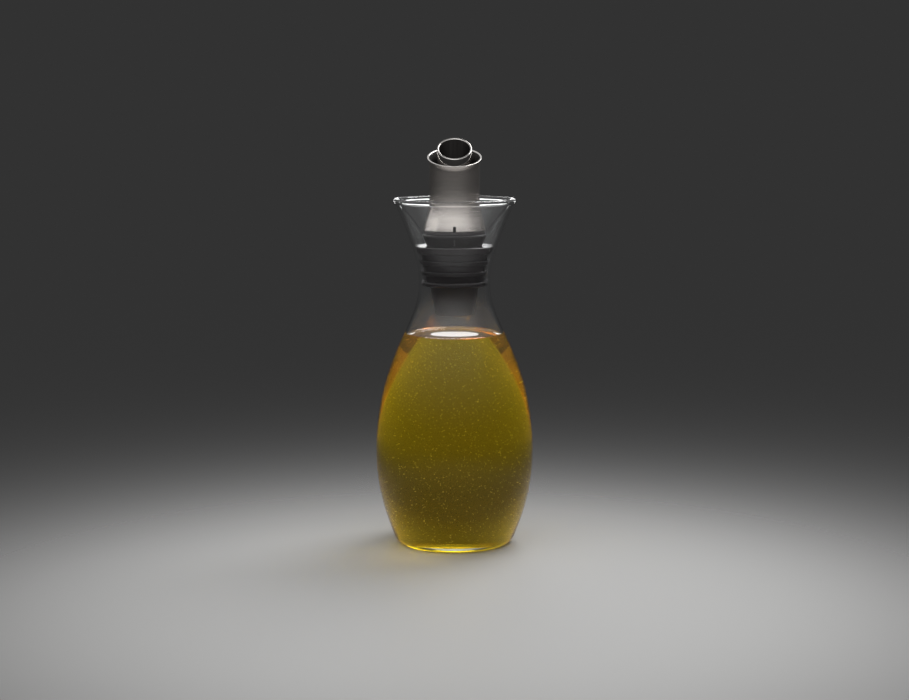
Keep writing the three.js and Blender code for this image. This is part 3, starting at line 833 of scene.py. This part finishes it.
# Glide ring: a thin band of satin plastic, a little paler than the collar. It is dropped on to the collar's
# top, and the edge of the sleeve turns on it.
GLIDE_W = 0.001
GLIDE_ROUND = 0.00022
GLIDE_PLASTIC = (0.13, 0.12, 0.122)

glide_r, glide_low, glide_top = reach("glide_ring")
glide = turned("glide_band", rounded([
    (glide_r - GLIDE_W, glide_low, GLIDE_ROUND),
    (glide_r, glide_low, GLIDE_ROUND),
    (glide_r, glide_top, GLIDE_ROUND),
    (glide_r - GLIDE_W, glide_top, GLIDE_ROUND),
]), FITTING_SIDES)
glide_plastic = moulded("glide_plastic", GLIDE_PLASTIC, roughness=0.35, grain=3800, depth=0.00001)
glide.data.materials.append(glide_plastic)
smooth(glide)
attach(glide, "stopper")
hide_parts("glide_ring")


# Rotor: the dark plastic core of the head. Its hub turns in the cup, a floor closes the drip cup, a socket
# holds the spout, and a key fills the sleeve's notch and runs in the cup's stop channel. The solid of the
# black rubber ring in the hub's groove has its true shape and stays.
HUB_R = 0.0095
GROOVE_R = 0.00826
GROOVE_HALF = 0.0007
GROOVE_LIFT = 0.00105
DRIP_FLOOR_LIFT = 0.0057
DRIP_FLOOR_T = 0.002
SOCKET_BORE = 0.00795
SOCKET_WALL = 0.0015
SOCKET_H = 0.004
DRAIN_R = 0.0007
DRAIN_SIDES = 24
KEY_W = 0.0011
KEY_RECESS = 0.0007
KEY_LOW, KEY_HIGH = 0.0003, 0.0021
KEY_FOOT_LOW = -0.0026
KEY_FOOT_R = (0.0111, 0.0099)
BLACK_RUBBER = (0.012, 0.012, 0.0125)

drip_floor_r, hub_low, _ = reach("selector_rotor")
drip_low = sleeve_low + DRIP_FLOOR_LIFT
drip_floor = drip_low + DRIP_FLOOR_T
socket_r = SOCKET_BORE + SOCKET_WALL
groove_z = hub_low + GROOVE_LIFT
rotor = turned("rotor_core", rounded([
    (PIVOT_BORE, hub_low, 0),
    (HUB_R, hub_low, EDGE_ROUND),
    (HUB_R, groove_z - GROOVE_HALF, 0),
    (GROOVE_R, groove_z - GROOVE_HALF, 0),
    (GROOVE_R, groove_z + GROOVE_HALF, 0),
    (HUB_R, groove_z + GROOVE_HALF, 0),
    (HUB_R, drip_low, 0),
    (drip_floor_r, drip_low, EDGE_ROUND),
    (drip_floor_r, drip_floor, EDGE_ROUND),
    (socket_r, drip_floor, EDGE_ROUND),
    (socket_r, drip_floor + SOCKET_H, EDGE_ROUND),
    (SOCKET_BORE, drip_floor + SOCKET_H, EDGE_ROUND),
    (SOCKET_BORE, drip_floor, 0),
    (PIVOT_BORE, drip_floor, 0),
]), FITTING_SIDES)
rotor.data.materials.append(dark_plastic)
key_low, key_high = sleeve_low + KEY_LOW, sleeve_low + KEY_HIGH
key_half = KEY_W / 2
shape(rotor, block((-key_half, KEY_RECESS - skirt_r, key_low), (key_half, -HUB_R / 2, key_high)), "UNION")
key_foot = [(side * key_half, -r, sleeve_low + z) for side, r, z in zip(
    (-1, 1), KEY_FOOT_R, (KEY_FOOT_LOW, KEY_HIGH))]
shape(rotor, block(*key_foot), "UNION")
shape(rotor, pin(WINDOW_R, hub_low - CUT_PAST, drip_floor + CUT_PAST, 0, WINDOW_OFFSET))
drain_half = DRAIN_R + EDGE_ROUND
shape(rotor, block(
    (-drain_half, -socket_r - CUT_PAST, drip_floor),
    (drain_half, -SOCKET_BORE + CUT_PAST, drip_floor + SOCKET_H + CUT_PAST),
))
drain_top = Vector((0, -SOCKET_BORE - DRAIN_R, drip_floor))
drain_foot = Vector((0, -BREATHER_OFFSET, hub_low))
drain_run = drain_top - drain_foot
bpy.ops.object.select_all(action="DESELECT")
bpy.ops.mesh.primitive_cylinder_add(
    vertices=DRAIN_SIDES,
    radius=DRAIN_R,
    depth=drain_run.length + 2 * CUT_PAST,
    location=(drain_top + drain_foot) / 2,
    rotation=drain_run.to_track_quat("Z", "Y").to_euler(),
)
shape(rotor, bpy.context.object)
smooth(rotor)
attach(rotor, "pourer_head")
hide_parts("selector_rotor")
black_rubber = moulded("black_rubber", BLACK_RUBBER, roughness=0.5, grain=4200, depth=0.00002)
redress("rotor_o_ring", black_rubber)


# Pivot: a slotted steel screw, driven down into the valve's boss, on which the head turns. It holds the
# rotor down over a steel washer, whose solid has its true shape and stays.
SCREW_R = 0.0013
SCREW_HEAD_R = 0.0024
SCREW_HEAD_H = 0.0018
SCREW_SLOT = 0.0008
SCREW_ROUND = 0.0004
SCREW_UNDER_ROUND = 0.0001
SCREW_SIDES = 64

_, screw_tip, screw_top = reach("pivot_screw")
head_low = screw_top - SCREW_HEAD_H
screw = turned("slotted_screw", rounded([
    (0, screw_tip, 0),
    (SCREW_R, screw_tip, SCREW_ROUND),
    (SCREW_R, head_low, 0),
    (SCREW_HEAD_R, head_low, SCREW_UNDER_ROUND),
    (SCREW_HEAD_R, screw_top, SCREW_ROUND),
    (0, screw_top, 0),
]), SCREW_SIDES)
screw.data.materials.append(plain_steel("screw_steel", roughness=0.18))
slot_reach = SCREW_HEAD_R + CUT_PAST
shape(screw, block(
    (-slot_reach, -SCREW_SLOT / 2, screw_top - SCREW_SLOT),
    (slot_reach, SCREW_SLOT / 2, screw_top + CUT_PAST),
))
smooth(screw)
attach(screw, "stopper")
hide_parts("pivot_screw")
redress("pivot_washer", plain_steel("washer_steel", roughness=0.22))


# Spout: a stainless steel tube, polished outside and dull in its bore, which is darkened to near black with
# painted shade. It is cut off at a slant and rounded at the edge, and it is pressed into the rotor's socket
# so that its high side is at the back.
SPOUT_WALL = 0.0007
SPOUT_SLANT = 0.59
SPOUT_ROUND = 0.00022
POLISHED = (0.62, 0.595, 0.57, 1)
POLISHED_ROUGHNESS, WEAR_ROUGHNESS = 0.05, 0.06
# The bore's near-black colours are painted shade inside the tubes; the streaks between them are real.
BORE_PAINTED_SHADE_DARK = (0.028, 0.026, 0.025, 1)
BORE_PAINTED_SHADE_LIGHT = (0.07, 0.066, 0.063, 1)
BORE_ROUGHNESS, STREAK_ROUGHNESS = 0.42, 0.16
OUTSIDE_SLOT, EDGE_SLOT, BORE_SLOT = 0, 1, 2
TUBE_SIDES = 160


def polished_steel(name):
    """Rubbed steel, bright with faint wear."""
    steel = finish(name)
    wear = steel.noise(scale=700, detail=3.0)
    return steel.surface({
        "Base Color": POLISHED,
        "Metallic": 1,
        "Roughness": POLISHED_ROUGHNESS + WEAR_ROUGHNESS * wear,
    })


def painted_shade_bore(name):
    """The inside of a tube, left dull as it was drawn, with streaks along it, and near black with painted
    shade.
    """
    steel = finish(name)
    streaks = steel.noise(scale=1, detail=3.0, stretch=(900, 900, 60))
    return steel.surface({
        "Base Color": steel.mix(streaks, BORE_PAINTED_SHADE_DARK, BORE_PAINTED_SHADE_LIGHT),
        "Metallic": 1,
        "Roughness": BORE_ROUGHNESS + STREAK_ROUGHNESS * streaks,
    })


def finish_inside(piece, edge_r):
    """Puts the bore's finish, near black with painted shade, on the faces of a tube that look towards its
    axis, but for its edge.
    """
    for face in piece.data.polygons:
        if outward(face) < -edge_r / 2 and face.material_index == OUTSIDE_SLOT:
            face.material_index = BORE_SLOT


def lean_top(piece, start, end, slope):
    """Leans the top of a tube: places above the start rise towards +Y, fully so at the end."""
    for vertex in piece.data.vertices:
        share = max(0, (vertex.co.z - start) / (end - start))
        vertex.co.z += share * slope * vertex.co.y


def polish_above(piece, height, slope):
    """Puts the edge's finish on the faces above a leaning height."""
    for face in piece.data.polygons:
        if face.center.z - slope * face.center.y > height:
            face.material_index = EDGE_SLOT


spout_r, spout_low, spout_back = reach("spout_tube")
spout_bore = spout_r - SPOUT_WALL
spout_top = spout_back - SPOUT_SLANT * spout_r
spout = turned("inner_spout", rounded([
    (spout_bore, spout_low, 0),
    (spout_r, spout_low, 0),
    (spout_r, spout_top, SPOUT_ROUND),
    (spout_bore, spout_top, SPOUT_ROUND),
]), TUBE_SIDES)
polished = polished_steel("polished_steel")
bore = painted_shade_bore("painted_shade_bore")
for steel in (polished, polished, bore):
    spout.data.materials.append(steel)
lean_top(spout, spout_low, spout_top, SPOUT_SLANT)
polish_above(spout, spout_top - SPOUT_ROUND, SPOUT_SLANT)
finish_inside(spout, spout_bore)
smooth(spout)
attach(spout, "pourer_head")
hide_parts("spout_tube")


# Sleeve: the outer steel tube of the head, spun to a flared skirt and a slanted, flared lip that catches
# drips, then brushed. A notch in its edge points at the setting, and the rotor's key sits in it.
SLEEVE_WALL = 0.0008
SLEEVE_ROUND = 0.0002
SKIRT_FLARE = 0.0027
SKIRT_H = 0.016
SKIRT_LEAN = 0.3
TUBE_H = 0.0121
LIP_H = 0.004
LIP_FLARE = 0.001
LIP_SLANT = 0.32
NOTCH_W = 0.0013
NOTCH_H = 0.0024
SKIRT_STEPS, LIP_STEPS = 26, 14
BRUSHED_DARK = (0.64, 0.593, 0.556, 1)
BRUSHED_LIGHT = (0.94, 0.871, 0.818, 1)
SCRATCH_SHARE, STREAK_SHARE = 0.7, 0.3
BRUSHED_ROUGHNESS, SCRATCH_ROUGHNESS, SMUDGE_ROUGHNESS = 0.22, 0.035, 0.03
BRUSHED_PULL, BRUSHED_TURN = 0.55, 0.25


def brushed_steel(name):
    """Stainless steel brushed round the axis: long fine scratches, and a few broad dull streaks."""
    steel = finish(name)
    scratches = steel.noise(scale=1, detail=3.0, stretch=(60, 60, 7600))
    streaks = steel.noise(scale=1, detail=2.0, stretch=(30, 30, 1500))
    smudges = steel.noise(scale=70, detail=4.0)
    grain = SCRATCH_SHARE * scratches + STREAK_SHARE * streaks
    return steel.surface({
        "Base Color": steel.mix(grain, BRUSHED_DARK, BRUSHED_LIGHT),
        "Metallic": 1,
        "Roughness": BRUSHED_ROUGHNESS + SCRATCH_ROUGHNESS * scratches + SMUDGE_ROUGHNESS * smudges,
        "Anisotropic": BRUSHED_PULL,
        "Anisotropic Rotation": BRUSHED_TURN,
        "Normal": steel.bump(scratches, distance=0.000004, strength=0.1),
    })


waist_r = skirt_r - SKIRT_FLARE
skirt_top = sleeve_low + SKIRT_H
tube_top = skirt_top + TUBE_H
lip_top = tube_top + LIP_H
skirt_edge, waist = (skirt_r, sleeve_low), (waist_r, skirt_top)
lip_start, lip_end = (waist_r, tube_top), (waist_r + LIP_FLARE, lip_top)
skirt_pull = (skirt_r - SKIRT_LEAN * SKIRT_FLARE, sleeve_low + SKIRT_LEAN * SKIRT_H)
sleeve_outside = [
    skirt_edge,
    *bend(skirt_edge, skirt_pull, (waist_r, sleeve_low + SKIRT_H / 2), waist, SKIRT_STEPS),
    lip_start,
    *bend_round(lip_start, (waist_r, tube_top + LIP_H / 2), lip_end, LIP_STEPS),
]
sleeve_edges = (0, len(sleeve_outside) - 1)
sleeve_corners = [
    (r, z, SLEEVE_ROUND if place in sleeve_edges else 0) for place, (r, z) in enumerate(sleeve_outside)
]
sleeve_corners += [(r - SLEEVE_WALL, z, cut) for r, z, cut in reversed(sleeve_corners)]
sleeve = turned("brushed_sleeve", rounded(sleeve_corners), TUBE_SIDES)
for steel in (brushed_steel("brushed_steel"), polished, bore):
    sleeve.data.materials.append(steel)
polish_above(sleeve, lip_top - SLEEVE_ROUND, 0)
# The sleeve's inside takes the bore's finish, darkened with painted shade.
finish_inside(sleeve, waist_r)
lean_top(sleeve, skirt_top, lip_top, LIP_SLANT)
shape(sleeve, block(
    (-NOTCH_W / 2, -skirt_r - CUT_PAST, sleeve_low - CUT_PAST),
    (NOTCH_W / 2, -waist_r + SLEEVE_WALL, sleeve_low + NOTCH_H),
))
smooth(sleeve)
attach(sleeve, "pourer_head")
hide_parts("pourer_sleeve")
